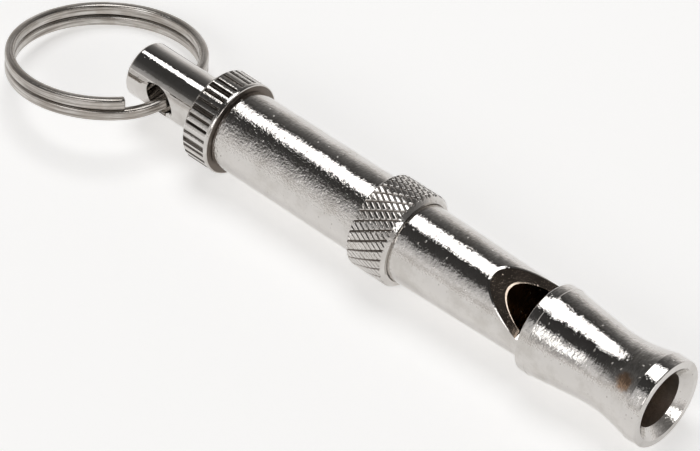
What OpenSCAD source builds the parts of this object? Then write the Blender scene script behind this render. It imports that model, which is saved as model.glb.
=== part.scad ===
// Adjustable training whistle, lying on its side.
// +X points out of the mouthpiece and +Z is up.
// The origin is the centre of the mouth, so every piece lies at x = 0 or behind it.

/* [Mouthpiece] */
// Length of the mouthpiece
mouthpiece_len = 17.3; // [16.5:0.1:20]
// Radius of the lip round the mouth
lip_r = 5.5; // [5.3:0.05:6]
// Width of the straight band behind the mouth
lip_w = 1.8; // [1.2:0.1:2.2]
// Radius of the open mouth at its face
mouth_r = 4.6; // [4.2:0.05:4.8]
// Depth of the mouth's funnel, which narrows to the wind passage
mouth_depth = 1.1; // [0.8:0.1:1.6]
// Radius of the wind passage in front of the plug
wind_r = 3.45; // [3.3:0.05:3.45]
// Radius of the mouthpiece's rear rim
tail_r = 5.6; // [5.4:0.05:6.2]
// Width of the rear rim
tail_w = 1.3; // [0.8:0.1:1.8]
// Slope of the flare behind the lip, in degrees
lip_flare = 10.8; // [9:0.1:12]
// Slope of the long flare in front of the rear rim, in degrees
tail_flare = 7; // [6:0.1:8]
// How far the round of the waist reaches along each flare
waist_reach = 2.75; // [1.5:0.05:3.5]

/* [Barrel] */
// Length of barrel between the mouthpiece and the collar
barrel_len = 19.5; // [17:0.1:24]
// Barrel radius beside the mouthpiece
barrel_front_r = 4.58; // [4.5:0.01:4.8]
// Barrel radius beside the collar
barrel_rear_r = 5.03; // [4.8:0.01:5.04]
// Radius of the bore that the tuning plunger slides in
bore_r = 3.64; // [3.5:0.01:3.7]
// Length of barrel inside the mouthpiece
front_spigot = 5; // [3.5:0.1:5.5]
// Length of barrel inside the sleeve
rear_spigot = 6; // [4:0.1:8]

/* [Sound window] */
// Distance from the mouthpiece to the top of the ramp
window_len = 7.2; // [6.5:0.1:8]
// Slope of the ramp, in degrees
ramp_slope = 23.8; // [20:0.1:27]
// Length of the level step at the foot of the ramp
step_len = 0.9; // [0.4:0.1:1.2]
// How far the window is turned from straight up as the whistle lies, in degrees
window_turn = 12.2; // [-45:0.1:45]
// Height of the windway above the flat of the plug
windway_h = 0.9; // [0.5:0.05:1.2]
// Length of the plug that closes the wind passage below the windway
plug_len = 8; // [6:0.1:9]

/* [Collar and sleeve] */
// Length of the knurled collar
collar_len = 5.5; // [5:0.1:7]
// Radius of the knurled collar
collar_r = 5.97; // [5.8:0.01:6.4]
// Width of the chamfer round the collar's front
collar_chamfer = 0.5; // [0.2:0.05:0.6]
// How far the front end of the sleeve lies inside the collar
sleeve_inset = 1.5; // [0.8:0.1:2.2]
// Length of sleeve between the collar and the lock nut
sleeve_len = 22.1; // [20:0.1:26]
// Radius of the sleeve
sleeve_r = 5.04; // [5.04:0.01:5.3]
// Length of the threaded bush in the rear end of the sleeve
bush_len = 8; // [6:0.1:9]

/* [Lock nut] */
// Length of the lock nut
nut_len = 4.1; // [3.5:0.1:5]
// Radius of the lock nut
nut_r = 5.92; // [5.7:0.01:6.3]
// Number of grooves round the lock nut
nut_grooves = 34; // [24:2:40]
// Depth of each groove
groove_depth = 0.3; // [0.15:0.01:0.4]

/* [Tuning screw] */
// Length of stem that stands out behind the lock nut
stem_len = 11.5; // [10.5:0.1:14]
// Radius of the stem
stem_r = 3.55; // [3.4:0.01:3.8]
// Distance from the end of the stem to the eye for the ring
eye_back = 4.8; // [4:0.1:5.5]
// Radius of the eye
eye_r = 2.05; // [2:0.01:2.3]
// How far the screw can be turned out
tuning_travel = 8; // [5:0.5:8]
// Outer radius of the thread
thread_r = 2.5; // [2.3:0.01:2.6]
// Advance of the thread in one turn
thread_pitch = 0.8; // [0.6:0.1:1]
// Length of the tuning plunger
plunger_len = 5; // [4.5:0.1:6]
// Radial clearance of the plunger and of the thread
running_gap = 0.05; // [0.03:0.01:0.08]

/* [Split ring] */
// Radius of the ring at the middle of its wire
ring_r = 11.6; // [11.3:0.1:12]
// Width of the wire across the ring
wire_w = 1.2; // [1:0.05:1.3]
// Thickness of the wire along the ring's axis
wire_h = 1.4; // [1.2:0.05:1.45]
// How far the ring lies tipped down behind the eye, in degrees
ring_tilt = 7.1; // [6:0.1:8]
// How far the ring leans to one side, in degrees
ring_lean = 12; // [10:0.1:14]

/* [Hidden] */
$fn = 96;

// Stations along the whistle, counted from the mouth
barrel_x = -mouthpiece_len;
collar_x = barrel_x - barrel_len;
sleeve_x = collar_x - collar_len;
nut_x = sleeve_x - sleeve_len;
stem_x = nut_x - nut_len;
end_x = stem_x - stem_len;
eye_x = end_x + eye_back;

// Where pieces meet inside
spigot_x = barrel_x + front_spigot;
sleeve_front_x = collar_x - sleeve_inset;
barrel_end_x = sleeve_front_x - rear_spigot;
bush_x = nut_x + bush_len;
socket_r = bore_r + 0.56;

// The ramp starts on the barrel's skin and ends in a level step beside the mouthpiece
ramp_x = barrel_x - window_len;
barrel_taper = (barrel_rear_r - barrel_front_r) / (barrel_x - sleeve_front_x);
ramp_z = barrel_front_r + barrel_taper * window_len;
step_z = ramp_z - (window_len - step_len) * tan(ramp_slope);
lip_edge_x = ramp_x + (ramp_z - bore_r) / tan(ramp_slope);

// The plunger stops this far behind the edge of the window when the screw is right in
shortest_air = 4;
plunger_x = lip_edge_x - shortest_air;
plunger_end_x = plunger_x - plunger_len;
nose_r = 1.5;
nose_len = 3.4;
rod_r = 1.9;
rod_gap = 0.2;

// The thread reaches through the nut and the bush even when the screw is turned right out
thread_end_x = bush_x + tuning_travel;
thread_depth = 0.61 * thread_pitch;
thread_count = floor((thread_end_x - stem_x) / thread_pitch) - 1;
shoulder_r = stem_r + 0.35;
shoulder_w = 0.8;

// The split ring is a wire of two turns, which climbs from the lower turn to the upper one
// between the two cut ends, inside the eye
ring_centre = [eye_x - 10.5, -0.9, -1.68];
climb_start = -34;
climb_end = 26;
turn_step = wire_h + 0.05;
wire_corner = 0.32;
ring_stations = 96;

// A piece turned about the whistle's axis, from an outline of [distance along X, radius]
module turned(outline) {
    rotate([0, 90, 0])
        rotate_extrude()
            polygon([for (p = outline) [p[1], p[0]]]);
}

// Points of a smooth bend from one point to another that pulls towards a corner
function bend(from, corner, to, steps) = [
    for (i = [0:steps])
        let (t = i / steps)
        from * (1 - t) * (1 - t) + corner * 2 * t * (1 - t) + to * t * t
];

// Points of a quarter round of radius r, on the outer edge of a face at x
// side is 1 for a face towards +X and -1 for a face towards -X
function edge_round(x, face_r, r, side, steps) = [
    for (i = [0:steps])
        let (a = 90 * i / steps)
        [x - side * r * (1 - sin(a)), face_r - r * (1 - cos(a))]
];

module mouthpiece() {
    lip_x = -lip_w;
    tail_x = barrel_x + tail_w;
    plug_front_x = barrel_x + plug_len;
    // The two flares would meet at this corner, which the waist rounds off
    corner_x = (tail_r - lip_r - lip_w * tan(lip_flare) + tail_x * tan(tail_flare))
        / (tan(lip_flare) + tan(tail_flare));
    corner_r = lip_r + (corner_x - lip_x) * tan(lip_flare);
    waist = bend(
        [corner_x + waist_reach, corner_r + waist_reach * tan(lip_flare)],
        [corner_x, corner_r],
        [corner_x - waist_reach, corner_r + waist_reach * tan(tail_flare)],
        14);
    lip_edge = edge_round(0, lip_r, 0.25, 1, 5);
    lip_edge_back = [for (i = [5:-1:0]) lip_edge[i]];
    color([0.8, 0.79, 0.77])
        turned(concat(
            [[0, mouth_r]],
            lip_edge_back,
            [[lip_x, lip_r + 0.06]],
            waist,
            [[tail_x, tail_r - 0.05], [tail_x - 0.15, tail_r], [barrel_x + 0.15, tail_r]],
            [[barrel_x, tail_r - 0.15], [barrel_x, barrel_front_r], [spigot_x, barrel_front_r]],
            [[spigot_x, bore_r], [plug_front_x, bore_r], [plug_front_x, wind_r]],
            [[-mouth_depth, wind_r]]));
}

// A solid rod that seats on the step behind the wind passage
// The flat on its top leaves the windway open above it
module fipple_plug() {
    flat_z = bore_r - windway_h;
    color([0.78, 0.63, 0.36])
        difference() {
            turned([[barrel_x, 0], [barrel_x + plug_len, 0], [barrel_x + plug_len, bore_r],
                [barrel_x, bore_r]]);
            rotate([window_turn, 0, 0])
                translate([barrel_x - 1, -bore_r - 1, flat_z])
                    cube([plug_len + 2, 2 * bore_r + 2, windway_h + 1]);
        }
}

module whistle_barrel() {
    cut_top = barrel_rear_r + 1;
    cut_w = 2 * barrel_rear_r + 2;
    over_x = ramp_x - (cut_top - ramp_z) / tan(ramp_slope);
    color([0.8, 0.79, 0.77])
        difference() {
            turned([[spigot_x, bore_r], [spigot_x, barrel_front_r], [barrel_x, barrel_front_r],
                [sleeve_front_x, barrel_rear_r], [sleeve_front_x, socket_r],
                [barrel_end_x, socket_r], [barrel_end_x, bore_r]]);
            rotate([window_turn, 0, 0])
                translate([0, cut_w / 2, 0])
                    rotate([90, 0, 0])
                        linear_extrude(cut_w)
                            polygon([[barrel_x, step_z], [barrel_x, cut_top], [over_x, cut_top],
                                [barrel_x - step_len, step_z]]);
        }
}

module knurled_collar() {
    rear_chamfer = 0.15;
    color([0.74, 0.73, 0.71])
        turned([[collar_x, sleeve_r], [collar_x, collar_r - collar_chamfer],
            [collar_x - collar_chamfer, collar_r], [sleeve_x + rear_chamfer, collar_r],
            [sleeve_x, collar_r - rear_chamfer], [sleeve_x, sleeve_r]]);
}

module rear_sleeve() {
    rim = 0.2;
    color([0.8, 0.79, 0.77])
        turned([[sleeve_front_x, socket_r], [sleeve_front_x, sleeve_r], [nut_x + rim, sleeve_r],
            [nut_x, sleeve_r - rim], [nut_x, socket_r]]);
}

// The thread inside the bush is drawn as a plain bore at the screw's outer size
module thread_bush() {
    color([0.78, 0.63, 0.36])
        turned([[bush_x, thread_r + running_gap], [bush_x, socket_r], [nut_x, socket_r],
            [nut_x, thread_r + running_gap]]);
}

module lock_nut() {
    front_rim = 0.45;
    rear_chamfer = 0.4;
    groove_side = groove_depth * sqrt(2);
    groove_len = nut_len - front_rim + 1;
    color([0.76, 0.75, 0.73])
        difference() {
            turned([[nut_x, thread_r + running_gap], [nut_x, nut_r - 0.1], [nut_x - 0.1, nut_r],
                [stem_x + rear_chamfer, nut_r], [stem_x, nut_r - rear_chamfer],
                [stem_x, thread_r + running_gap]]);
            for (i = [0:nut_grooves - 1])
                rotate([i * 360 / nut_grooves, 0, 0])
                    translate([nut_x - front_rim - groove_len / 2, 0, nut_r])
                        rotate([45, 0, 0])
                            cube([groove_len, groove_side, groove_side], center = true);
        }
}

// Stem with its eye, threaded shank, plain rod and the nose that carries the plunger.
// The thread is drawn as rings with flat crests.
module adjusting_screw() {
    end_edge = edge_round(end_x, stem_r, 0.45, -1, 5);
    end_outline = [for (i = [5:-1:0]) end_edge[i]];
    crest = 0.25 * thread_pitch;
    flank = (thread_pitch - 2 * crest) / 2;
    thread_outline = [
        for (i = [0:thread_count - 1])
            let (x = stem_x + 0.4 + i * thread_pitch)
            each [[x, thread_r], [x + crest, thread_r], [x + crest + flank, thread_r - thread_depth],
                [x + 2 * crest + flank, thread_r - thread_depth]]
    ];
    mouth_w = 0.9;
    mouth_over = 0.5;
    color([0.79, 0.78, 0.76])
        difference() {
            turned(concat(
                [[end_x, 0]],
                end_outline,
                [[stem_x - shoulder_w, stem_r], [stem_x - 0.1, shoulder_r], [stem_x - 0.1, thread_r]],
                thread_outline,
                [[thread_end_x, rod_r], [plunger_end_x - rod_gap, rod_r],
                    [plunger_end_x - rod_gap, nose_r], [plunger_end_x + nose_len, nose_r],
                    [plunger_end_x + nose_len, 0]]));
            translate([eye_x, 0, 0])
                rotate([90, 0, 0])
                    cylinder(h = 3 * stem_r, r = eye_r, center = true);
            for (side = [-1, 1])
                translate([eye_x, side * (stem_r - mouth_w), 0])
                    rotate([-side * 90, 0, 0])
                        cylinder(h = mouth_w + mouth_over, r1 = eye_r, r2 = eye_r + mouth_w + mouth_over);
        }
}

module tuning_plunger() {
    r = bore_r - running_gap;
    chamfer = 0.2;
    socket = nose_len + 0.2;
    color([0.78, 0.63, 0.36])
        turned([[plunger_x, 0], [plunger_x, r - chamfer], [plunger_x - chamfer, r],
            [plunger_end_x + chamfer, r], [plunger_end_x, r - chamfer],
            [plunger_end_x, nose_r + running_gap], [plunger_end_x + socket, nose_r + running_gap],
            [plunger_end_x + socket, 0]]);
}

// Height of the wire above the ring's middle plane, at an angle counted over both turns
function climb(angle) =
    let (u = min(1, max(0, (angle - 360 - climb_start) / (climb_end - climb_start))))
    turn_step * (u * u * (3 - 2 * u) - 0.5);

// Outline of the wire as [across, along the ring's axis], with rounded corners
function wire_outline() = [
    for (q = [0:3], i = [0:2])
        let (a = q * 90 + i * 45,
            across = (q == 0 || q == 3) ? 1 : -1,
            up = (q < 2) ? 1 : -1)
        [across * (wire_w / 2 - wire_corner) + wire_corner * cos(a),
            up * (wire_h / 2 - wire_corner) + wire_corner * sin(a)]
];

module split_ring() {
    outline = wire_outline();
    sides = len(outline);
    span = 720 + climb_start - climb_end;
    rings = [
        for (i = [0:ring_stations])
            let (a = climb_end + span * i / ring_stations)
            [for (p = outline) [(ring_r + p[0]) * cos(a), (ring_r + p[0]) * sin(a), p[1] + climb(a)]]
    ];
    points = [for (ring = rings) for (p = ring) p];
    skin = [
        for (i = [0:ring_stations - 1], k = [0:sides - 1])
            let (near = i * sides, far = near + sides, next = (k + 1) % sides)
            each [[near + k, near + next, far + next], [near + k, far + next, far + k]]
    ];
    first_end = [[for (k = [sides - 1:-1:0]) k]];
    last_end = [[for (k = [0:sides - 1]) ring_stations * sides + k]];
    color([0.62, 0.6, 0.57])
        translate(ring_centre)
            rotate([0, -ring_tilt, 0])
                rotate([-ring_lean, 0, 0])
                    polyhedron(points = points, faces = concat(skin, first_end, last_end));
}

mouthpiece();
fipple_plug();
whistle_barrel();
knurled_collar();
rear_sleeve();
thread_bush();
lock_nut();
adjusting_screw();
tuning_plunger();
split_ring();
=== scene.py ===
import math
import random
import bmesh
import bpy
from mathutils import Matrix, Vector


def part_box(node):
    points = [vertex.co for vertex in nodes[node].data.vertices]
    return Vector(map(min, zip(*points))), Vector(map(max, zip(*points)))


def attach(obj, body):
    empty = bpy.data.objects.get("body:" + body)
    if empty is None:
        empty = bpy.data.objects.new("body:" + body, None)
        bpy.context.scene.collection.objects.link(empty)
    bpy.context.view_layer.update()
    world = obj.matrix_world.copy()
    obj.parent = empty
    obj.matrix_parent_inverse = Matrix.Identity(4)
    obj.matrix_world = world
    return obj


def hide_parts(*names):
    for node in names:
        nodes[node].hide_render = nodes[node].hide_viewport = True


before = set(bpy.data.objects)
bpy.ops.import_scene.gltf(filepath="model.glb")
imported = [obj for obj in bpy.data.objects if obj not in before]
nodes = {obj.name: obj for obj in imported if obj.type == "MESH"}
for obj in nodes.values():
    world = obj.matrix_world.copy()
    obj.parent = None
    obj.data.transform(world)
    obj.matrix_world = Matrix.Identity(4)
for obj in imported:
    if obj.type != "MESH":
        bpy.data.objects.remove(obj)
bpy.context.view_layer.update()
mm = 0.001

# Stations along the whistle in mm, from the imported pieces
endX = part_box("adjusting_screw")[0].x / mm
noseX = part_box("adjusting_screw")[1].x / mm
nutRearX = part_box("lock_nut")[0].x / mm
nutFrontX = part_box("lock_nut")[1].x / mm
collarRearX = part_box("knurled_collar")[0].x / mm
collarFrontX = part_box("knurled_collar")[1].x / mm
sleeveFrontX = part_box("rear_sleeve")[1].x / mm
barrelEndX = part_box("whistle_barrel")[0].x / mm
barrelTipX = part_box("whistle_barrel")[1].x / mm
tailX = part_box("mouthpiece")[0].x / mm
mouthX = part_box("mouthpiece")[1].x / mm
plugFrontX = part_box("fipple_plug")[1].x / mm
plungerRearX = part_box("tuning_plunger")[0].x / mm
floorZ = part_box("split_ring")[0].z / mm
print("frame loaded, the whistle runs from", round(endX, 2), "to", round(mouthX, 2), "mm")

# Sizes that more than one piece shares, in mm
fits = {
    "boreR": 3.64,
    "socketR": 4.20,
    "sleeveR": 5.04,
    "barrelFrontR": 4.58,
    "barrelRearR": 5.03,
    "threadR": 2.5,
    "threadGap": 0.05,
}
slack = 0.01  # mm, for comparing places that should agree

# The camera: its target and distance in mm, its angles in degrees
view = {
    "target": (-44.3, -3.03, 0.0),
    "azimuth": 42.52,
    "elevation": 45.19,
    "distance": 472.4,
    "lens": 212.7,
    "nearClip": 10,
}


def newObject(name, data):
    thing = bpy.data.objects.new(name, data)
    bpy.context.scene.collection.objects.link(thing)
    return thing


def makeCamera():
    azimuth = math.radians(view["azimuth"])
    elevation = math.radians(view["elevation"])
    target = Vector(view["target"]) * mm
    away = Vector((math.sin(azimuth) * math.cos(elevation),
                   -math.cos(azimuth) * math.cos(elevation), math.sin(elevation)))
    camera = newObject("camera", bpy.data.cameras.new("camera"))
    camera.location = target + away * view["distance"] * mm
    camera.rotation_euler = (-away).to_track_quat("-Z", "Y").to_euler()
    camera.data.lens = view["lens"]
    camera.data.clip_start = view["nearClip"] * mm
    bpy.context.scene.camera = camera


floorLook = {"size": 6000, "colour": (0.85, 0.85, 0.85), "roughness": 0.9, "specular": 0.1,
             "glow": 0.46, "glowColour": (1, 0.99, 0.975)}


def makeFloor():
    mesh = bpy.data.meshes.new("floor")
    half = floorLook["size"] * mm / 2
    z = floorZ * mm
    corners = [(-half, -half, z), (half, -half, z), (half, half, z), (-half, half, z)]
    mesh.from_pydata(corners, [], [(0, 1, 2, 3)])
    floor = newObject("floor", mesh)
    material = bpy.data.materials.new("paleFloor")
    material.use_nodes = True
    shader = material.node_tree.nodes["Principled BSDF"]
    shader.inputs["Base Color"].default_value = (*floorLook["colour"], 1)
    shader.inputs["Roughness"].default_value = floorLook["roughness"]
    shader.inputs["Specular IOR Level"].default_value = floorLook["specular"]
    shader.inputs["Emission Color"].default_value = (*floorLook["glowColour"], 1)
    shader.inputs["Emission Strength"].default_value = floorLook["glow"]
    mesh.materials.append(material)


# Softboxes: place and size in mm, the way each faces, and how bright its cloth looks
softboxes = {
    "overheadRound": {"shape": "ELLIPSE", "place": (-296, 225, 800), "facing": (0, 0, -1),
                      "size": (650, 535), "brightness": 3.2},
    "sideWindow": {"shape": "RECTANGLE", "place": (115, -900, 665), "facing": (0, 1, 0),
                   "size": (770, 550), "brightness": 2.2},
    "sideReflector": {"shape": "RECTANGLE", "place": (-425, -900, 640), "facing": (0, 1, 0),
                      "size": (310, 860), "brightness": 0.52},
    "farReflector": {"shape": "RECTANGLE", "place": (-700, -900, 520), "facing": (0, 1, 0),
                     "size": (240, 640), "brightness": 0.24},
    "frontLamp": {"shape": "ELLIPSE", "place": (820, -115, 345), "facing": (-0.91, 0.13, -0.38),
                  "size": (300, 300), "brightness": 3.0},
}


def makeLights():
    for name, box in softboxes.items():
        lamp = bpy.data.lights.new(name, "AREA")
        lamp.shape = box["shape"]
        lamp.size = box["size"][0] * mm
        lamp.size_y = box["size"][1] * mm
        area = lamp.size * lamp.size_y * (math.pi / 4 if box["shape"] == "ELLIPSE" else 1)
        lamp.energy = box["brightness"] * math.pi * area
        light = newObject(name, lamp)
        back = -Vector(box["facing"]).normalized()
        # the width runs along X, or along Y where the lamp faces along X
        across = Vector((0, 1, 0)) if abs(back.x) > 0.7 else Vector((1, 0, 0))
        across = (across - back * back.dot(across)).normalized()
        turn = Matrix((across, back.cross(across), back)).transposed()
        light.visible_camera = False
        light.matrix_world = Matrix.Translation(Vector(box["place"]) * mm) @ turn.to_4x4()


# Grey of the room against the height of the direction, from straight down to straight up
roomGreys = ((0.0, 0.95), (0.52, 0.9), (0.56, 0.72), (0.61, 0.5), (0.66, 0.34), (0.70, 0.22),
             (0.75, 0.15), (0.82, 0.1), (0.87, 0.06), (1.0, 0.04))
roomTint = (1, 0.975, 0.955)


def makeRoom():
    world = bpy.data.worlds.new("studio")
    bpy.context.scene.world = world
    world.use_nodes = True
    tree = world.node_tree
    background = tree.nodes["Background"]
    coords = tree.nodes.new("ShaderNodeTexCoord")
    split = tree.nodes.new("ShaderNodeSeparateXYZ")
    height = tree.nodes.new("ShaderNodeMapRange")
    height.inputs["From Min"].default_value = -1
    ramp = tree.nodes.new("ShaderNodeValToRGB")
    while len(ramp.color_ramp.elements) < len(roomGreys):
        ramp.color_ramp.elements.new(0.5)
    for stop, (place, grey) in zip(ramp.color_ramp.elements, roomGreys):
        stop.position = place
        stop.color = (*(grey * part for part in roomTint), 1)
    tree.links.new(coords.outputs["Generated"], split.inputs[0])
    tree.links.new(split.outputs["Z"], height.inputs["Value"])
    tree.links.new(height.outputs[0], ramp.inputs[0])
    tree.links.new(ramp.outputs[0], background.inputs["Color"])


makeCamera()
makeFloor()
makeLights()
makeRoom()
bpy.context.scene.view_settings.view_transform = "Standard"
print("camera, floor and light are set")


# Small helpers for node trees
def addNode(tree, kind, **settings):
    node = tree.nodes.new(kind)
    for key, value in settings.items():
        if key in node.inputs:
            node.inputs[key].default_value = value
        else:
            setattr(node, key, value)
    return node


def feed(tree, socket, value):
    # a socket takes another node's output or a plain value
    if isinstance(value, bpy.types.NodeSocket):
        tree.links.new(value, socket)
    else:
        socket.default_value = value


def calc(tree, operation, first, second, clamp=False):
    node = addNode(tree, "ShaderNodeMath", operation=operation, use_clamp=clamp)
    feed(tree, node.inputs[0], first)
    feed(tree, node.inputs[1], second)
    return node.outputs[0]


def calcVector(tree, operation, first, second=None, scale=None, output="Vector"):
    node = addNode(tree, "ShaderNodeVectorMath", operation=operation)
    feed(tree, node.inputs[0], first)
    if second is not None:
        feed(tree, node.inputs[1], second)
    if scale is not None:
        feed(tree, node.inputs["Scale"], scale)
    return node.outputs[output]


def fadeBetween(tree, value, low, high):
    # 0 below low and 1 above high, or the other way about where low is the larger
    node = addNode(tree, "ShaderNodeMapRange", interpolation_type="SMOOTHSTEP",
                   **{"From Min": low, "From Max": high})
    tree.links.new(value, node.inputs["Value"])
    return node.outputs[0]


def spreadOver(tree, value, low, high):
    # 0 to 1 becomes low to high
    node = addNode(tree, "ShaderNodeMapRange", **{"To Min": low, "To Max": high})
    tree.links.new(value, node.inputs["Value"])
    return node.outputs[0]


def bumped(tree, height, reach, normal=None):
    node = addNode(tree, "ShaderNodeBump", Strength=1.0, Distance=reach * mm)
    tree.links.new(height, node.inputs["Height"])
    if normal is not None:
        tree.links.new(normal, node.inputs["Normal"])
    return node.outputs[0]


def newGroup(name, inputs, outputs):
    group = bpy.data.node_groups.new(name, "ShaderNodeTree")
    for socketName, value in inputs.items():
        socket = group.interface.new_socket(socketName, in_out="INPUT", socket_type="NodeSocketFloat")
        socket.default_value = value
    for socketName, kind in outputs.items():
        group.interface.new_socket(socketName, in_out="OUTPUT", socket_type=kind)
    return group, addNode(group, "NodeGroupInput"), addNode(group, "NodeGroupOutput")


def inMillimetres(tree, stretch=(1, 1, 1)):
    coords = addNode(tree, "ShaderNodeTexCoord")
    size = tuple(part / mm for part in stretch)
    return calcVector(tree, "MULTIPLY", coords.outputs["Object"], size)


def noise(tree, place, scale, detail=2.0, roughness=0.55):
    node = addNode(tree, "ShaderNodeTexNoise", Scale=scale, Detail=detail, Roughness=roughness)
    tree.links.new(place, node.inputs["Vector"])
    return node.outputs["Fac"]


def aboutZero(tree, value):
    return calc(tree, "SUBTRACT", value, 0.5)


# Marks in the plating: each noise is (scale per mm, detail, roughness), and each fade (from, to)
skinMarks = {
    "streaks": (1.0, 3.0, 0.65), "slow": (0.45, 1.0), "slowShare": 0.35,
    "along": (1.0, 2.0), "alongStretch": (3.0, 1.4, 1.4), "alongShare": 0.6,
    "grain": (4.2, 3.0, 0.6), "peel": (2.3, 2.0, 0.5), "peelShare": 1.3,
    "dotScale": 1.5, "dotFade": (0.2, 0.06), "dotsKept": (0.55, 0.9),
    "lowSide": (0, -0.866, 0.5), "lowSideFade": (3.6, 4.7), "coarse": (3.1, 2.0, 0.6),
    "reach": 0.02, "clouds": (0.25, 5.0, 0.68), "cloudFade": (0.42, 0.66),
}


def buildPlatedSkin():
    # Turning marks that lean the surface to and fro, with grain, pits and pimples under the plate
    marks = skinMarks
    group, given, out = newGroup(
        "platedSkin",
        {"Waver": 0.2, "Grain": 0.3, "Pimples": 0.4, "Along": 7.5, "Around": 1.3, "Peel": 0.4},
        {"Normal": "NodeSocketVector", "Cloud": "NodeSocketFloat", "Specks": "NodeSocketFloat"})
    link = group.links.new
    place = inMillimetres(group)
    geometry = addNode(group, "ShaderNodeNewGeometry")
    axis = addNode(group, "ShaderNodeVectorTransform", vector_type="VECTOR",
                   convert_from="OBJECT", convert_to="WORLD")
    axis.inputs[0].default_value = (1, 0, 0)
    around = calcVector(group, "CROSS_PRODUCT", axis.outputs[0], geometry.outputs["Normal"])
    stretch = addNode(group, "ShaderNodeCombineXYZ")
    for socket, name in zip(stretch.inputs, ("Along", "Around", "Around")):
        link(given.outputs[name], socket)
    stretched = calcVector(group, "MULTIPLY", place, stretch.outputs[0])
    streaks = noise(group, stretched, *marks["streaks"])
    slow = noise(group, place, *marks["slow"])
    sway = calc(group, "ADD", aboutZero(group, streaks),
                calc(group, "MULTIPLY", aboutZero(group, slow), marks["slowShare"]))
    lean = calc(group, "MULTIPLY", sway, given.outputs["Waver"])
    along = noise(group, inMillimetres(group, marks["alongStretch"]), *marks["along"])
    leanAlong = calc(group, "MULTIPLY", aboutZero(group, along),
                     calc(group, "MULTIPLY", given.outputs["Waver"], marks["alongShare"]))
    swayed = calcVector(group, "ADD", geometry.outputs["Normal"],
                        calcVector(group, "SCALE", around, scale=lean))
    swayed = calcVector(group, "ADD", swayed,
                        calcVector(group, "SCALE", axis.outputs[0], scale=leanAlong))
    swayed = calcVector(group, "NORMALIZE", swayed)
    peel = noise(group, place, *marks["peel"])
    grain = calc(group, "ADD", noise(group, place, *marks["grain"]),
                 calc(group, "MULTIPLY", peel, marks["peelShare"]))
    cells = addNode(group, "ShaderNodeTexVoronoi", Scale=marks["dotScale"], Randomness=1.0)
    link(place, cells.inputs["Vector"])
    chosen = addNode(group, "ShaderNodeSeparateColor")
    link(cells.outputs["Color"], chosen.inputs[0])
    dots = calc(group, "MULTIPLY", fadeBetween(group, cells.outputs["Distance"], *marks["dotFade"]),
                fadeBetween(group, chosen.outputs["Red"], *marks["dotsKept"]))
    height = calc(group, "ADD", calc(group, "MULTIPLY", grain, given.outputs["Grain"]),
                  calc(group, "MULTIPLY", dots, given.outputs["Pimples"]))
    # the skin is coarser along the side that lay lowest in the plating bath
    sideways = calcVector(group, "DOT_PRODUCT", place, marks["lowSide"], output="Value")
    coarse = calc(group, "MULTIPLY", fadeBetween(group, sideways, *marks["lowSideFade"]),
                  given.outputs["Peel"])
    height = calc(group, "ADD", height,
                  calc(group, "MULTIPLY", noise(group, place, *marks["coarse"]), coarse))
    clouds = noise(group, place, *marks["clouds"])
    link(bumped(group, height, marks["reach"], swayed), out.inputs["Normal"])
    link(fadeBetween(group, clouds, *marks["cloudFade"]), out.inputs["Cloud"])
    link(dots, out.inputs["Specks"])
    return group


ringMarks = {"stretch": (1, 0.02, 0.02), "detail": 4.0, "roughness": 0.7, "reach": 0.03}


def buildLathedRings():
    # Fine rings left by a tool, round the X axis
    group, given, out = newGroup(
        "lathedRings", {"Depth": 0.5, "Rings Per Mm": 6.0},
        {"Normal": "NodeSocketVector", "Bands": "NodeSocketFloat"})
    rings = addNode(group, "ShaderNodeTexNoise", Detail=ringMarks["detail"],
                    Roughness=ringMarks["roughness"])
    group.links.new(inMillimetres(group, ringMarks["stretch"]), rings.inputs["Vector"])
    group.links.new(given.outputs["Rings Per Mm"], rings.inputs["Scale"])
    height = calc(group, "MULTIPLY", rings.outputs["Fac"], given.outputs["Depth"])
    group.links.new(bumped(group, height, ringMarks["reach"]), out.inputs["Normal"])
    group.links.new(rings.outputs["Fac"], out.inputs["Bands"])
    return group


# colour and roughness of the darkening in deep knurl grooves and of the painted shade on the lock nut's
# front face
darkeningLook = {"patches": (0.9, 3.0), "least": 0.35, "colour": (0.16, 0.135, 0.115), "roughness": 0.3}


def buildGrooveDarkAndPaintedFaceShade():
    # Darker, duller colour where the mesh's groove-depth layer is high: deep in the knurl grooves, and
    # as painted shade on the lock nut's front face
    group, given, out = newGroup("grooveDarkAndPaintedFaceShade", {"Amount": 1.0}, {"Mask": "NodeSocketFloat"})
    layer = addNode(group, "ShaderNodeAttribute", attribute_name="darkShare")
    patchy = noise(group, inMillimetres(group), *darkeningLook["patches"])
    mask = calc(group, "MULTIPLY", layer.outputs["Fac"],
                calc(group, "ADD", patchy, darkeningLook["least"]))
    group.links.new(calc(group, "MULTIPLY", mask, given.outputs["Amount"], clamp=True),
                    out.inputs["Mask"])
    return group


platedSkin = buildPlatedSkin()
lathedRings = buildLathedRings()
grooveDarkAndPaintedFaceShade = buildGrooveDarkAndPaintedFaceShade()


def newMetal(name):
    material = bpy.data.materials.new(name)
    material.use_nodes = True
    shader = material.node_tree.nodes["Principled BSDF"]
    shader.inputs["Metallic"].default_value = 1.0
    return material, material.node_tree, shader


def placeGroup(tree, group, **values):
    node = tree.nodes.new("ShaderNodeGroup")
    node.node_tree = group
    for key, value in values.items():
        node.inputs[key].default_value = value
    return node


def mixColours(tree, mask, first, second):
    node = addNode(tree, "ShaderNodeMix", data_type="RGBA")
    feed(tree, node.inputs[0], mask)
    for socket, value in ((node.inputs[6], first), (node.inputs[7], second)):
        feed(tree, socket, (*value, 1) if isinstance(value, tuple) else value)
    return node.outputs[2]


def finishShader(tree, shader, colour, roughness, normal):
    tree.links.new(colour, shader.inputs["Base Color"])
    tree.links.new(roughness, shader.inputs["Roughness"])
    tree.links.new(normal, shader.inputs["Normal"])


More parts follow.
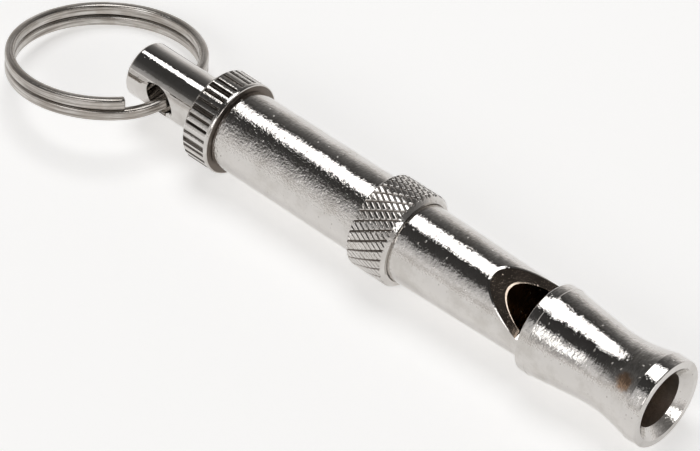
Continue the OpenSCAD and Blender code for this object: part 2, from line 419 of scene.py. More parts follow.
plateLook = {
    "colour": (0.645, 0.622, 0.598),
    "cloudy": (0.565, 0.54, 0.51),
    "gloss": (0.03, 0.09),
    "waver": 0.27,
    "grain": 0.6,
    "pimples": 1.5,
    "along": 7.5,
    "around": 1.3,
    "peel": 1.0,
    "pitted": (0.36, 0.32, 0.29),
    "pittedShare": 0.6,
}


def nickelPlate(name, changes, darkenAmount=0.0, spot=None):
    look = {**plateLook, **changes}
    material, tree, shader = newMetal(name)
    marks = ("waver", "grain", "pimples", "along", "around", "peel")
    skin = placeGroup(tree, platedSkin, **{mark.capitalize(): look[mark] for mark in marks})
    colour = mixColours(tree, skin.outputs["Cloud"], look["colour"], look["cloudy"])
    specks = calc(tree, "MULTIPLY", skin.outputs["Specks"], look["pittedShare"])
    colour = mixColours(tree, specks, colour, look["pitted"])
    roughness = spreadOver(tree, skin.outputs["Cloud"], *look["gloss"])
    if spot:
        # a small place where the plate has worn thin and warm
        offset = calcVector(tree, "SUBTRACT", inMillimetres(tree), spot["place"])
        uneven = noise(tree, inMillimetres(tree), *spot["uneven"])
        ragged = calc(tree, "ADD", calcVector(tree, "LENGTH", offset, output="Value"),
                      calc(tree, "MULTIPLY", uneven, spot["unevenReach"]))
        mask = calc(tree, "MULTIPLY", fadeBetween(tree, ragged, *spot["fade"]), spot["strength"])
        colour = mixColours(tree, mask, colour, spot["colour"])
    # darken deep knurl grooves and paint shade on the lock nut's front face
    if darkenAmount:
        darkened = placeGroup(tree, grooveDarkAndPaintedFaceShade, Amount=darkenAmount).outputs["Mask"]
        colour = mixColours(tree, darkened, colour, darkeningLook["colour"])
        roughness = calc(tree, "ADD", roughness,
                         calc(tree, "MULTIPLY", darkened, darkeningLook["roughness"]))
    finishShader(tree, shader, colour, roughness, skin.outputs["Normal"])
    return material


spotByLip = {"place": (-3.5, -3.43, 3.95), "fade": (2.0, 1.2), "strength": 0.65,
             "colour": (0.5, 0.25, 0.09), "uneven": (1.6, 3.0), "unevenReach": 1.2}
brightPlate = nickelPlate("brightNickelPlate", {})
sleevePlate = nickelPlate("sleeveNickelPlate", {"waver": 0.22, "pimples": 1.8, "peel": 3.6})
mouthPlate = nickelPlate("mouthpieceNickelPlate", {"waver": 0.31, "peel": 0.7}, spot=spotByLip)
# the knurled plate carries the groove darkening and the painted face shade
knurlPlate = nickelPlate("knurledNickelPlate", {"waver": 0.12, "gloss": (0.06, 0.14)}, darkenAmount=1.3)
stemPlate = nickelPlate("stemNickelPlate", {"waver": 0.09, "grain": 0.12, "pimples": 0.4,
                                            "along": 0.5, "around": 4.0})
milledPlate = nickelPlate(
    "milledNickelPlate",
    {"colour": (0.46, 0.385, 0.32), "cloudy": (0.33, 0.27, 0.22), "gloss": (0.1, 0.22),
     "waver": 0.1, "grain": 1.2, "pimples": 4.5, "pitted": (0.8, 0.78, 0.75)})
dullBore = nickelPlate(
    "dullBorePlate",
    {"colour": (0.5, 0.44, 0.39), "cloudy": (0.38, 0.32, 0.28), "gloss": (0.38, 0.55),
     "waver": 0.1, "grain": 1.0, "pimples": 1.0})


brassLook = {"dark": (0.42, 0.29, 0.13), "light": (0.62, 0.45, 0.22), "gloss": (0.2, 0.42),
             "depth": 0.6, "ringsPerMm": 7.0}


def turnedBrass():
    look = brassLook
    material, tree, shader = newMetal("turnedBrass")
    rings = placeGroup(tree, lathedRings, **{"Depth": look["depth"],
                                             "Rings Per Mm": look["ringsPerMm"]})
    bands = rings.outputs["Bands"]
    finishShader(tree, shader, mixColours(tree, bands, look["dark"], look["light"]),
                 spreadOver(tree, bands, *look["gloss"]), rings.outputs["Normal"])
    return material


steelLook = {
    "bright": (0.62, 0.595, 0.565), "dull": (0.46, 0.42, 0.38), "line": (0.25, 0.225, 0.2),
    "gloss": (0.34, 0.14), "stretch": (7.0, 0.12, 1.0), "lines": (1.0, 4.0, 0.65),
    "lineFade": (0.36, 0.6), "patches": (0.35, 3.0), "patchFade": (0.35, 0.7), "reach": 0.02,
}


def drawnSteel():
    # UVs run across and along the wire, in mm
    look = steelLook
    material, tree, shader = newMetal("drawnSteel")
    uv = addNode(tree, "ShaderNodeUVMap", uv_map="wire")
    stretched = calcVector(tree, "MULTIPLY", uv.outputs[0], look["stretch"])
    lines = noise(tree, stretched, *look["lines"])
    patches = noise(tree, inMillimetres(tree), *look["patches"])
    tint = mixColours(tree, fadeBetween(tree, patches, *look["patchFade"]), look["bright"],
                      look["dull"])
    colour = mixColours(tree, fadeBetween(tree, lines, *look["lineFade"]), look["line"], tint)
    finishShader(tree, shader, colour, spreadOver(tree, lines, *look["gloss"]),
                 bumped(tree, lines, look["reach"]))
    return material


brass = turnedBrass()
steel = drawnSteel()
print("finishes are mixed")


# Mesh helpers: every size that goes in is in mm
def meshOf(name, points, faces):
    mesh = bpy.data.meshes.new(name)
    mesh.from_pydata([tuple(part * mm for part in point) for point in points], [], faces)
    return newObject(name, mesh)


def ribbonFaces(rows, around, closed=False):
    # four-sided faces between rows of points that run all the way round
    faces = []
    for i in range(rows if closed else rows - 1):
        j = (i + 1) % rows
        for k in range(around):
            nextK = (k + 1) % around
            faces.append([i * around + k, j * around + k, j * around + nextK, i * around + nextK])
    return faces


def makePiece(name, points, faces, body, replaced, finishes, slotName, normals=None,
              finishOf=None, sharpAbove=None):
    piece = meshOf(name, points, faces)
    mesh = piece.data
    for finish in finishes:
        mesh.materials.append(finish)
    if finishOf:
        mesh.polygons.foreach_set("material_index", finishOf)
    mesh.shade_smooth()
    if normals:
        mesh.normals_split_custom_set(normals)
    elif sharpAbove:
        mesh.set_sharp_from_angle(angle=math.radians(sharpAbove))
    mesh.update()
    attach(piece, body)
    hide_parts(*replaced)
    return piece


def rounded(corners, steps=4, closed=True):
    # Corners are (x, radius, rounding) and go counter-clockwise with x to the right
    points = []
    count = len(corners)
    for i, (x, radius, rounding) in enumerate(corners):
        here = Vector((x, radius))
        if rounding == 0 or (not closed and i in (0, count - 1)):
            points.append(here)
            continue
        towardsLast = (Vector(corners[i - 1][:2]) - here).normalized()
        towardsNext = (Vector(corners[(i + 1) % count][:2]) - here).normalized()
        half = towardsLast.angle(towardsNext) / 2
        centre = here + (towardsLast + towardsNext).normalized() * rounding / math.sin(half)
        first = here + towardsLast * rounding / math.tan(half) - centre
        last = here + towardsNext * rounding / math.tan(half) - centre
        sweep = first.angle(last)
        for k in range(steps + 1):
            part = k / steps
            points.append(centre + (first * math.sin((1 - part) * sweep)
                                    + last * math.sin(part * sweep)) / math.sin(sweep))
    return points


def outlineNormals(points, closed=True, blendBelow=35):
    # The outward normal at the start and at the end of each stretch of the outline
    count = len(points)
    stretches = count if closed else count - 1
    flat = []
    lengths = []
    for i in range(stretches):
        step = points[(i + 1) % count] - points[i]
        flat.append(Vector((step.y, -step.x)).normalized())
        lengths.append(step.length)

    def blended(i, j):
        if flat[i].angle(flat[j]) > math.radians(blendBelow):
            return None
        return (flat[i] * lengths[i] + flat[j] * lengths[j]).normalized()

    result = []
    for i in range(stretches):
        before = blended(i - 1, i) if closed or i > 0 else None
        after = blended(i, (i + 1) % stretches) if closed or i < stretches - 1 else None
        result.append((before or flat[i], after or flat[i]))
    return result


def spun(points, closed=True, around=160):
    # Points, faces and corner normals of an outline turned about the X axis
    ends = outlineNormals(points, closed)
    turns = [(-math.sin(2 * math.pi * k / around), math.cos(2 * math.pi * k / around))
             for k in range(around)]
    places = []
    rings = []
    for point in points:
        if point.y < 1e-6:
            rings.append([len(places)] * around)
            places.append((point.x, 0, 0))
        else:
            rings.append(list(range(len(places), len(places) + around)))
            places.extend((point.x, point.y * y, point.y * z) for y, z in turns)
    faces = []
    normals = []
    for i, (start, end) in enumerate(ends):
        near = rings[i]
        far = rings[(i + 1) % len(points)]
        for k in range(around):
            nextK = (k + 1) % around
            corners = ((near[k], start, k), (far[k], end, k), (far[nextK], end, nextK),
                       (near[nextK], start, nextK))
            kept = []
            for corner in corners:
                if corner[0] not in [other[0] for other in kept]:
                    kept.append(corner)
            faces.append([corner[0] for corner in kept])
            for _, normal, turn in kept:
                normals.append((normal.x, normal.y * turns[turn][0], normal.y * turns[turn][1]))
    return places, faces, normals


mouthpieceSizes = {
    "lipR": 5.5, "lipWidth": 1.8, "bandR": 5.56, "mouthR": 4.6, "funnelDepth": 1.1, "windR": 3.45,
    "tailR": 5.6, "tailWidth": 1.3, "lipFlare": 10.8, "tailFlare": 7.0, "waistReach": 2.75,
    "mouthRound": 0.07, "lipRound": 0.2, "bandRound": 0.5, "tailRound": 0.16, "funnelRound": 0.06,
    "rimStep": 0.06, "rimLean": 0.04, "rimRound": 0.02, "waistSteps": 24, "around": 200,
}


def makeMouthpiece():
    size = mouthpieceSizes
    lipSlope = math.tan(math.radians(size["lipFlare"]))
    tailSlope = math.tan(math.radians(size["tailFlare"]))
    lipX = mouthX - size["lipWidth"]
    bandX = tailX + size["tailWidth"]
    # the waist is a curve round the corner where the two flares would meet
    rise = size["tailR"] - size["lipR"] - size["lipWidth"] * lipSlope + bandX * tailSlope
    cornerX = rise / (lipSlope + tailSlope)
    cornerR = size["lipR"] + (cornerX - lipX) * lipSlope
    reach = size["waistReach"]
    start = Vector((cornerX + reach, cornerR + reach * lipSlope))
    corner = Vector((cornerX, cornerR))
    end = Vector((cornerX - reach, cornerR + reach * tailSlope))
    corners = [(mouthX, size["mouthR"], size["mouthRound"]), (mouthX, size["lipR"], size["lipRound"]),
               (lipX, size["bandR"], size["bandRound"])]
    for k in range(size["waistSteps"] + 1):
        part = k / size["waistSteps"]
        point = start * (1 - part) ** 2 + corner * 2 * part * (1 - part) + end * part ** 2
        corners.append((point.x, point.y, 0))
    corners += [(bandX, size["tailR"] - size["rimStep"], 0),
                (bandX - size["rimLean"], size["tailR"], size["rimRound"]),
                (tailX, size["tailR"], size["tailRound"]), (tailX, fits["barrelFrontR"], 0),
                (barrelTipX, fits["barrelFrontR"], 0), (barrelTipX, fits["boreR"], 0),
                (plugFrontX, fits["boreR"], 0), (plugFrontX, size["windR"], 0),
                (mouthX - size["funnelDepth"], size["windR"], size["funnelRound"])]
    points, faces, normals = spun(rounded(corners), around=size["around"])
    # the wind passage has the dull finish
    finishOf = []
    for face in faces:
        widest = max(math.hypot(points[v][1], points[v][2]) for v in face)
        finishOf.append(1 if widest < size["windR"] + slack else 0)
    makePiece("mouthpieceShell", points, faces, "whistle_body", ["mouthpiece"],
              [mouthPlate, dullBore], "bright_plate", normals, finishOf)


makeMouthpiece()

sleeveSizes = {"rearRound": 0.18, "around": 200}


def makeSleeve():
    corners = [(nutFrontX, fits["socketR"], 0), (sleeveFrontX, fits["socketR"], 0),
               (sleeveFrontX, fits["sleeveR"], 0),
               (nutFrontX, fits["sleeveR"], sleeveSizes["rearRound"])]
    points, faces, normals = spun(rounded(corners), around=sleeveSizes["around"])
    makePiece("rearSleeveTube", points, faces, "whistle_body", ["rear_sleeve"], [sleevePlate],
              "bright_plate", normals)


makeSleeve()
print("mouthpiece and sleeve are turned")

windowSizes = {
    "length": 7.2, "slope": 23.8, "stepLength": 0.9, "turn": 12.2, "outerBevel": 0.075,
    "bevelFade": 8, "bevelLean": 0.65, "lipBevel": 0.14, "land": 0.24, "leastLand": 0.03,
    "landDrop": 0.04, "landTurn": 0.25, "landLean": 0.1, "columns": 96, "rows": 5,
    "underColumns": 120, "around": 160,
}


def makeBarrel():
    size = windowSizes
    slopeAngle = math.radians(size["slope"])
    slope = math.tan(slopeAngle)
    frontR = fits["barrelFrontR"]
    bore = fits["boreR"]
    socket = fits["socketR"]
    taper = (fits["barrelRearR"] - frontR) / (tailX - sleeveFrontX)
    rampX = tailX - size["length"]
    rampZ = frontR + taper * size["length"]
    stepX = tailX - size["stepLength"]
    stepZ = rampZ - (size["length"] - size["stepLength"]) * slope
    milled = 1
    points = []
    faces = []
    normals = []
    finishOf = []

    def outerR(x):
        return frontR + taper * (tailX - x)

    def rampMeets(cosine, lift, inset):
        # x where the ramp, lifted a little, meets the skin less an inset at this cosine
        return (rampZ + lift + slope * rampX
                - (frontR + taper * tailX - inset) * cosine) / (slope - taper * cosine)

    def spot(x, radius, angle):
        return Vector((x, -radius * math.sin(angle), radius * math.cos(angle)))

    def arc(x, radius, angles):
        return [spot(x, radius, a) for a in angles]

    def roundTheRest(top):
        count = size["underColumns"]
        return [top + (2 * math.pi - 2 * top) * k / count for k in range(count + 1)]

    def outwards(angle):
        return Vector((0, -math.sin(angle), math.cos(angle)))

    def addStrip(first, second, facing, finish=0):
        # one band of faces between two rows of points that run the same way
        base = len(points)
        count = len(first)
        if isinstance(facing, Vector):
            facing = [facing] * count
        points.extend(first)
        points.extend(second)
        for k in range(count - 1):
            faces.append([base + k, base + k + 1, base + count + k + 1, base + count + k])
            normals.extend([facing[k], facing[k + 1], facing[k + 1], facing[k]])
            finishOf.append(finish)

    edgeAngle = math.acos(stepZ / outerR(stepX))
    lipAngle = math.acos(stepZ / bore)
    parts = [2 * k / size["columns"] - 1 for k in range(size["columns"] + 1)]
    tops = [edgeAngle * part for part in parts]
    boreTops = [lipAngle * part for part in parts]
    # the bevel fades out towards the steps
    bevels = [size["outerBevel"] * (1 - part ** size["bevelFade"]) for part in parts]

    # outer skin, above the window and round the rest
    skinEnd = [min(stepX, rampMeets(math.cos(a), -inset, 0)) for a, inset in zip(tops, bevels)]
    edge = [spot(x, outerR(x), a) for x, a in zip(skinEnd, tops)]
    rearR = outerR(sleeveFrontX)
    tilt = Vector((taper, 0, 0))
    skinNormals = [(outwards(a) + tilt).normalized() for a in tops]
    addStrip(edge, arc(sleeveFrontX, rearR, tops), skinNormals)
    under = roundTheRest(edgeAngle)
    addStrip(arc(tailX, outerR(tailX), under), arc(sleeveFrontX, rearR, under),
             [(outwards(a) + tilt).normalized() for a in under])

    # bevel between the skin and the ramp, then the ramp in rows from the bore up to the bevel
    outer = []
    for a, inset in zip(tops, bevels):
        x = min(stepX, rampMeets(math.cos(a), 0, inset))
        outer.append(spot(x, outerR(x) - inset, a))
    rampNormal = Vector((math.sin(slopeAngle), 0, math.cos(slopeAngle)))
    addStrip(outer, edge,
             [rampNormal.lerp(normal, size["bevelLean"]).normalized() for normal in skinNormals])
    lipR = bore + size["lipBevel"]
    inner = []
    for a in boreTops:
        inner.append(spot(min(stepX, rampX + (rampZ - lipR * math.cos(a)) / slope), lipR, a))
    last = inner
    for row in range(1, size["rows"] + 1):
        line = [a.lerp(b, row / size["rows"]) for a, b in zip(inner, outer)]
        addStrip(last, line, rampNormal, milled)
        last = line

    # narrow land on the ramp's sharp edge, then the blunt lip down to the bore
    landEnd = []
    boreEnd = []
    for part, a, point in zip(parts, boreTops, inner):
        landX = min(stepX, point.x + size["leastLand"] + size["land"] * (1 - abs(part)))
        landEnd.append(spot(landX, bore + size["landDrop"], a))
        boreEnd.append(spot(landX, bore, a))
    forward = Vector((1, 0, 0))
    addStrip(landEnd, inner, [(outwards(size["landTurn"] * a - size["landLean"])
                               + forward * size["landLean"]).normalized() for a in boreTops], milled)
    addStrip(boreEnd, landEnd, forward, milled)

    # bore skin: above the window's lip, below it, and on into the mouthpiece
    addStrip(arc(barrelEndX, bore, boreTops), boreEnd, [-outwards(a) for a in boreTops], milled)
    under = roundTheRest(lipAngle)
    addStrip(arc(barrelEndX, bore, under), arc(tailX, bore, under),
             [-outwards(a) for a in under], milled)
    whole = [2 * math.pi * k / size["around"] for k in range(size["around"] + 1)]
    outside = [outwards(a) for a in whole]
    addStrip(arc(tailX, bore, whole), arc(barrelTipX, bore, whole),
             [-normal for normal in outside], milled)

    # level steps beside the mouthpiece
    for side in (-1, 1):
        addStrip([spot(x, bore, side * lipAngle) for x in (stepX, tailX)],
                 [spot(x, outerR(stepX), side * edgeAngle) for x in (stepX, tailX)],
                 Vector((0, 0, 1)))

    # wall in front of the window, then the spigot, the socket and the end faces
    addStrip(arc(tailX, outerR(tailX), tops), arc(tailX, bore, boreTops), -forward, milled)
    addStrip(arc(barrelTipX, frontR, whole), arc(tailX, frontR, whole), outside)
    addStrip(arc(barrelTipX, bore, whole), arc(barrelTipX, frontR, whole), forward)
    addStrip(arc(sleeveFrontX, rearR, whole), arc(sleeveFrontX, socket, whole), -forward)
    addStrip(arc(sleeveFrontX, socket, whole), arc(barrelEndX, socket, whole), outside)
    addStrip(arc(barrelEndX, socket, whole), arc(barrelEndX, bore, whole), -forward)

    turn = Matrix.Rotation(math.radians(size["turn"]), 3, "X")
    points = [turn @ point for point in points]
    normals = [turn @ normal for normal in normals]
    # turn every face to look the way its normals do
    start = 0
    for f, face in enumerate(faces):
        a, b, c, d = (points[v] for v in face)
        facingWay = (c - a).cross(d - b)
        if facingWay.dot(normals[start] + normals[start + 2]) < 0:
            faces[f] = face[::-1]
            normals[start:start + 4] = normals[start:start + 4][::-1]
        start += 4
    makePiece("whistleBarrelTube", points, faces, "whistle_body", ["whistle_barrel"],
              [brightPlate, milledPlate], "bright_plate", normals, finishOf)


makeBarrel()
print("barrel is cut")

fullDarkDepth = 0.14  # a groove this deep is darkened as much as can be


def makeRibbed(name, rows, around, radiusAt, darkeningAt=None, **rest):
    # Rows are (x, radius, ribbed), counter-clockwise; a layer on the mesh says how deep a groove is, and
    # on plain rows it holds the painted shade that the optional function gives
    points = []
    darkShare = []
    for x, radius, isRibbed in rows:
        for k in range(around):
            angle = 2 * math.pi * k / around
            r = radiusAt(x, radius, angle) if isRibbed else radius
            points.append((x, -r * math.sin(angle), r * math.cos(angle)))
            if darkeningAt and not isRibbed:
                darkShare.append(darkeningAt(x, radius))
            else:
                darkShare.append(min(1.0, (radius - r) / fullDarkDepth))
    faces = ribbonFaces(len(rows), around, closed=True)
    piece = makePiece(name, points, faces, sharpAbove=40, **rest)
    layer = piece.data.attributes.new("darkShare", "FLOAT", "POINT")
    layer.data.foreach_set("value", darkShare)


knurlSizes = {
    "radius": 5.964, "frontChamfer": 0.5, "rearChamfer": 0.15, "innerChamfer": 0.08, "helix": 30,
    "coarse": {"lines": 28, "width": 0.30, "depth": 0.16},
    "fine": {"lines": 54, "width": 0.22, "depth": 0.11},
    "flank": 1.5, "chamferRows": 6, "rows": 62, "around": 640,
}


def makeCollar():
    size = knurlSizes
    lean = math.tan(math.radians(size["helix"]))
    radius = size["radius"]

    def groove(position, cut):
        pitch = 2 * math.pi * radius / cut["lines"]
        away = pitch / 2 - abs((position / pitch) % 1 - 0.5) * pitch
        part = max(0.0, 1 - away / (cut["width"] / 2))
        return cut["depth"] * min(1.0, part * size["flank"])

    def knurl(x, skinR, angle):
        across = angle * radius
        depth = max(groove(across + lean * x, size["coarse"]), groove(across - lean * x, size["fine"]))
        return min(skinR, radius - depth)

    chamfer = size["frontChamfer"]
    edge = size["innerChamfer"]
    top = collarFrontX - chamfer
    bottom = collarRearX + size["rearChamfer"]
    rows = [(collarFrontX - edge, fits["sleeveR"], False), (collarFrontX, fits["sleeveR"] + edge, False)]
    for k in range(size["chamferRows"]):
        part = k / size["chamferRows"]
        rows.append((collarFrontX - chamfer * part, radius - chamfer * (1 - part), True))
    for k in range(size["rows"] + 1):
        rows.append((top + (bottom - top) * k / size["rows"], radius, True))
    rows += [(bottom - edge, radius - edge, True), (collarRearX, radius - size["rearChamfer"], False),
             (collarRearX, fits["sleeveR"], False)]
    makeRibbed("knurledCollarRing", rows, size["around"], knurl, body="whistle_body",
               replaced=["knurled_collar"], finishes=[knurlPlate], slotName="knurled_plate")


makeCollar()

# Grooves come in groups of lines cut side by side; widths and depths are multiplied by a random share
nutSizes = {
    "radius": 5.92, "rim": 0.45, "frontChamfer": 0.2, "rearChamfer": 0.4, "edge": 0.16, "crown": 0.07,
    "groups": 34, "groupAside": 0.12, "lineCounts": (2, 3, 3, 4), "lineGap": 0.18, "lineReach": 0.3,
    "width": 0.12, "widths": (0.8, 1.3), "depth": 0.3, "depths": (0.55, 1.0), "flank": 0.07,
    "flankOut": 0.03, "runOut": 0.16, "bow": 0.1, "bowOut": 0.06,
    "runOutRows": (0, 0.04, 0.08, 0.12, 0.17, 0.24),
    # the first entry below is the strength of the painted shade on the nut's front face
    "paintedFaceShade": 1.0, "edgeMiddle": 0.05, "rows": 22, "around": 900, "seed": 11,
}


def makeLockNut():
    size = nutSizes
    radius = size["radius"]
    shuffle = random.Random(size["seed"])
    pitch = 2 * math.pi * radius / size["groups"]
    grooves = []
    for k in range(size["groups"]):
        centre = (k + 1 + shuffle.uniform(-size["groupAside"], size["groupAside"])) * pitch
        lines = shuffle.choice(size["lineCounts"])
        for line in range(lines):
            aside = (line - (lines - 1) / 2) * size["lineGap"]
            grooves.append((centre + aside, size["width"] * shuffle.uniform(*size["widths"]),
                            size["depth"] * shuffle.uniform(*size["depths"])))
    cutEnd = nutFrontX - size["rim"]

    def share(value):
        return min(1.0, max(0.0, value))

    def ribs(x, skinR, angle):
        across = angle * radius
        reach = max(0.0, cutEnd - x)
        # each tooth is crowned, highest midway between two groups
        tooth = abs((across / pitch) % 1 - 0.5) * 2
        depth = size["crown"] * tooth ** 2 * share(reach / size["runOut"])
        for centre, width, deep in grooves:
            away = abs(across - centre)
            away = min(away, 2 * math.pi * radius - away)
            if away > size["lineReach"]:
                continue
            # the cut ends in a rounded run-out behind the rim
            bow = math.sqrt(max(0.0, 1 - (away / (width / 2 + size["bowOut"])) ** 2))
            fade = share((reach - size["bow"] * (1 - bow)) / size["runOut"])
            part = share((width / 2 + size["flankOut"] - away) / size["flank"])
            depth = max(depth, deep * part * fade)
        return min(skinR, radius - depth)

    # painted shade: the lock nut's front face is darkened where it sits in shade
    def paintedFaceShade(x, skinR):
        onFace = x > nutFrontX - slack and skinR < radius - size["edge"] - slack
        return size["paintedFaceShade"] if onFace else 0.0

    chamfer = size["frontChamfer"]
    edge = size["edge"]
    middle = size["edgeMiddle"]
    rear = size["rearChamfer"]
    innerR = fits["threadR"] + fits["threadGap"]
    rows = [(nutRearX, innerR, False), (nutFrontX - chamfer, innerR, False),
            (nutFrontX, innerR + chamfer, False), (nutFrontX, radius - chamfer, False),
            (nutFrontX, radius - edge, False), (nutFrontX - middle, radius - middle, False),
            (nutFrontX - edge, radius, False), (nutFrontX - 2 * edge, radius, True)]
    stations = [cutEnd - step for step in size["runOutRows"]]
    span = stations[-1] - (nutRearX + rear)
    stations += [stations[-1] - span * (k + 1) / size["rows"] for k in range(size["rows"])]
    rows += [(x, radius, True) for x in stations]
    for part in (0.25, 0.5, 0.75):
        rows.append((nutRearX + rear * (1 - part), radius - rear * part, True))
    rows.append((nutRearX, radius - rear, False))
    makeRibbed("lockNutRing", rows, size["around"], ribs, paintedFaceShade, body="lock_nut",
               replaced=["lock_nut"], finishes=[knurlPlate], slotName="knurled_plate")


makeLockNut()
print("collar and lock nut are knurled")

screwSizes = {
    "stemR": 3.55, "shoulderR": 3.9, "shoulderWidth": 0.7, "shoulderGap": 0.1, "endRound": 0.45,
    "shoulderRound": 0.1, "neckRound": 0.35, "seatR": 2.2, "seatLength": 0.5,
    "eyeBack": 4.8, "eyeR": 2.05, "eyeRound": 0.12, "sinkDepth": 0.9, "drillOver": 1.6, "drillTip": 0.2,
    "pitch": 0.8, "threadDepth": 0.488, "threadStart": 0.45, "flat": 0.2, "flank": 0.55, "runOut": 0.5,
    "travel": 8.0, "bushLength": 8.0, "rootR": 2.0, "rodR": 1.9, "noseR": 1.5, "noseChamfer": 0.15,
    "rodGap": 0.2, "relief": 0.1, "stemAround": 160, "drillAround": 96, "threadAround": 96,
    "stepsPerPitch": 12,
}


def normalFromOutline(outline, ends, x, radius):
    # the outline's normal at the place on it nearest to (x, radius)
    here = Vector((x, radius))
    best = None
    for i, (start, end) in enumerate(ends):
        first = outline[i]
        step = outline[i + 1] - first
        part = max(0.0, min(1.0, (here - first).dot(step) / step.length_squared))
        gap = (first + step * part - here).length
        if best is None or gap < best[0] - 1e-5:
            best = (gap, start.lerp(end, part).normalized())
    return best[1]


def makeScrew():
    size = screwSizes
    shoulderX = nutRearX - size["shoulderGap"]
    seatX = nutRearX + size["seatLength"]
    stemR = size["stemR"]
    corners = [(seatX, 0, 0), (seatX, size["seatR"], 0), (shoulderX, size["seatR"], 0),
               (shoulderX, size["shoulderR"], size["shoulderRound"]),
               (shoulderX - size["shoulderWidth"], stemR, size["neckRound"]),
               (endX, stemR, size["endRound"]), (endX, 0, 0)]
    outline = rounded(corners, steps=6, closed=False)
    points, faces, _ = spun(outline, closed=False, around=size["stemAround"])
    stem = meshOf("stem", points, faces)

    # drill for the eye, with a countersink at each end
    eyeX = endX + size["eyeBack"]
    sinkStart = stemR - size["sinkDepth"]
    sinkEnd = sinkStart + size["drillOver"]
    tip = sinkEnd + size["drillTip"]
    sinkR = size["eyeR"] + size["drillOver"]
    drill = [(tip, 0, 0), (sinkEnd, sinkR, 0), (sinkStart, size["eyeR"], size["eyeRound"]),
             (-sinkStart, size["eyeR"], size["eyeRound"]), (-sinkEnd, sinkR, 0), (-tip, 0, 0)]
    drillLine = rounded(drill, closed=False)
    points, faces, _ = spun(drillLine, closed=False, around=size["drillAround"])
    points = [(eyeX - y, x, z) for x, y, z in points]
    cutter = meshOf("drill", points, faces)
    cut = stem.modifiers.new("eye", "BOOLEAN")
    cut.operation = "DIFFERENCE"
    cut.solver = "EXACT"
    cut.object = cutter
    bpy.context.view_layer.update()
    drilled = stem.evaluated_get(bpy.context.evaluated_depsgraph_get()).to_mesh()
    ends = outlineNormals(outline, closed=False)
    drillEnds = outlineNormals(drillLine, closed=False)
    points = [vertex.co / mm for vertex in drilled.vertices]
    faces = [list(face.vertices) for face in drilled.polygons]
    skinSlack = 0.012  # flat faces lie a little inside the round skin
    eyeSlack = 0.08
    normals = []
    for face in drilled.polygons:
        # a face belongs to the eye when it lies within the drill and doesn't look straight out
        centre = face.center / mm
        across = math.hypot(centre.x - eyeX, centre.z)
        limit = size["eyeR"] + max(0.0, abs(centre.y) - sinkStart)
        centreR = math.hypot(centre.y, centre.z)
        looksOut = face.normal.dot(Vector((0, centre.y, centre.z)).normalized()) > 0.99
        isSkin = abs(centreR - stemR) < skinSlack and across > limit - 2 * slack and looksOut
        inEye = across < limit + eyeSlack and centreR < stemR + slack and not isSkin
        for v in face.vertices:
            point = points[v]
            if inEye:
                out = math.hypot(point.x - eyeX, point.z)
                flat = normalFromOutline(drillLine, drillEnds, point.y, out)
                # the drill's outward side is the hole's inside
                normals.append((-flat.y * (point.x - eyeX) / out, -flat.x, -flat.y * point.z / out))
            else:
                out = max(1e-6, math.hypot(point.y, point.z))
                flat = normalFromOutline(outline, ends, point.x, out)
                normals.append((flat.x, flat.y * point.y / out, flat.y * point.z / out))
    bpy.data.objects.remove(cutter)
    bpy.data.objects.remove(stem)

    # right-hand thread, then the plain rod and the nose
    threadEnd = nutFrontX + size["bushLength"] + size["travel"]
    threadStart = nutRearX + size["threadStart"]
    rodX = plungerRearX - size["rodGap"]

    def threadRadius(x, angle):
        phase = ((x - threadStart) / size["pitch"] + angle / (2 * math.pi)) % 1
        height = min(1.0, max(0.0, (abs(phase - 0.5) * 2 - size["flat"]) / size["flank"]))
        runOut = min(1.0, max(0.0, (threadEnd - x) / size["runOut"]))
        return fits["threadR"] - size["threadDepth"] * (1 - height * runOut)

    noseR = size["noseR"]
    chamfer = size["noseChamfer"]
    rootR = size["rootR"]
    relief = size["relief"]
    hiddenX = shoulderX - size["seatLength"]  # the shaft ends inside the stem
    rows = [(noseX, 0), (noseX, noseR - chamfer), (noseX - chamfer, noseR), (rodX, noseR),
            (rodX, size["rodR"]), (threadEnd + relief, size["rodR"])]
    count = int((threadEnd - threadStart) / size["pitch"] * size["stepsPerPitch"])
    rows += [(threadEnd + (threadStart - threadEnd) * k / count, None) for k in range(count + 1)]
    rows += [(threadStart - relief, rootR), (hiddenX, rootR), (hiddenX, 0)]
    around = size["threadAround"]
    base = len(points)
    threadPoints = []
    for x, radius in rows:
        for k in range(around):
            angle = 2 * math.pi * k / around
            r = threadRadius(x, angle) if radius is None else radius
            threadPoints.append(Vector((x, -r * math.sin(angle), r * math.cos(angle))))
    shaft = bpy.data.meshes.new("shaft")
    shaft.from_pydata(threadPoints, [], ribbonFaces(len(rows), around))
    shaft.shade_smooth()
    work = bmesh.new()
    work.from_mesh(shaft)
    bmesh.ops.remove_doubles(work, verts=work.verts, dist=1e-4)
    work.normal_update()
    work.to_mesh(shaft)
    work.free()
    shaft.set_sharp_from_angle(angle=math.radians(40))
    points += [vertex.co.copy() for vertex in shaft.vertices]
    for face in shaft.polygons:
        faces.append([base + v for v in face.vertices])
        normals.extend(shaft.corner_normals[i].vector.copy() for i in face.loop_indices)
    makePiece("adjustingScrewRod", points, faces, "tuning_screw", ["adjusting_screw"], [stemPlate],
              "bright_plate", normals)


makeScrew()
print("adjusting screw is threaded and drilled")

ringSizes = {
    "radius": 11.6, "wireWidth": 1.2, "wireHeight": 1.4, "squareness": 3.6, "gap": 0.05,
    "centre": (-10.5, -0.9, -1.68), "tilt": 7.1, "lean": 12.0,
    "climbFrom": -34.0, "climbTo": 26.0, "cutEnd": ((0.0, 0.82), (0.05, 0.94), (0.12, 1.0)),
    "stations": 420, "sides": 28,
}


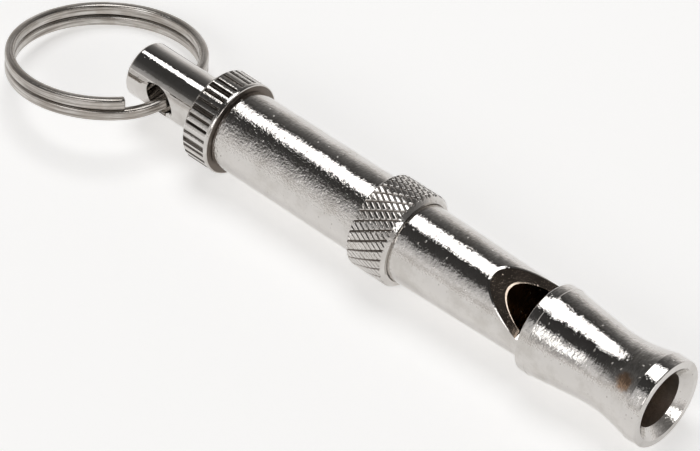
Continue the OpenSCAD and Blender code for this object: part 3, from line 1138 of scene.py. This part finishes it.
def makeSplitRing():
    size = ringSizes
    eyeX = endX + screwSizes["eyeBack"]
    pose = Matrix.Translation(Vector(size["centre"]) + Vector((eyeX, 0, 0))) \
        @ Matrix.Rotation(math.radians(-size["tilt"]), 4, "Y") \
        @ Matrix.Rotation(math.radians(-size["lean"]), 4, "X")
    span = 720 + size["climbFrom"] - size["climbTo"]
    stepUp = size["wireHeight"] + size["gap"]
    power = 2 / size["squareness"]
    section = []
    for k in range(size["sides"]):
        angle = 2 * math.pi * k / size["sides"]
        across = math.copysign(abs(math.cos(angle)) ** power, math.cos(angle))
        up = math.copysign(abs(math.sin(angle)) ** power, math.sin(angle))
        section.append((across * size["wireWidth"] / 2, up * size["wireHeight"] / 2))

    def climbed(angle):
        part = (angle - 360 - size["climbFrom"]) / (size["climbTo"] - size["climbFrom"])
        part = min(1.0, max(0.0, part))
        return stepUp * (part * part * (3 - 2 * part) - 0.5)

    # full section all along, with a small bevel round each cut end
    length = math.radians(span) * size["radius"]
    bevel = size["cutEnd"][-1][0]
    inner = length - 2 * bevel
    stations = list(size["cutEnd"])
    stations += [(bevel + inner * (k + 1) / size["stations"], 1.0) for k in range(size["stations"])]
    stations += [(length - along, scale) for along, scale in size["cutEnd"][1::-1]]
    points = []
    for along, scale in stations:
        angle = size["climbTo"] + math.degrees(along / size["radius"])
        turn = math.radians(angle)
        for across, up in section:
            r = size["radius"] + across * scale
            points.append(pose @ Vector((r * math.cos(turn), r * math.sin(turn),
                                         up * scale + climbed(angle))))
    sides = size["sides"]
    faces = []
    uvs = []
    perimeter = 2 * (size["wireWidth"] + size["wireHeight"]) * 0.92  # less for the round corners
    for i in range(len(stations) - 1):
        for k in range(sides):
            nextK = (k + 1) % sides
            faces.append([i * sides + k, i * sides + nextK, (i + 1) * sides + nextK,
                          (i + 1) * sides + k])
            low = k / sides * perimeter
            high = (k + 1) / sides * perimeter
            uvs += [(low, stations[i][0]), (high, stations[i][0]), (high, stations[i + 1][0]),
                    (low, stations[i + 1][0])]
    lastRow = (len(stations) - 1) * sides
    faces.append(list(range(sides))[::-1])
    faces.append([lastRow + k for k in range(sides)])
    uvs += [section[k] for k in range(sides)][::-1] + [section[k] for k in range(sides)]
    piece = makePiece("splitRingWire", points, faces, "split_ring", ["split_ring"], [steel],
                      "drawn_steel", sharpAbove=50)
    layer = piece.data.uv_layers.new(name="wire")
    for loop, uv in zip(layer.data, uvs):
        loop.uv = uv


makeSplitRing()
print("split ring is wound")

# The inner brass pieces keep their own shapes
for nodeName in ("fipple_plug", "thread_bush", "tuning_plunger"):
    inner = nodes[nodeName]
    inner.data.materials.clear()
    inner.data.materials.append(brass)
print("inner pieces are finished")
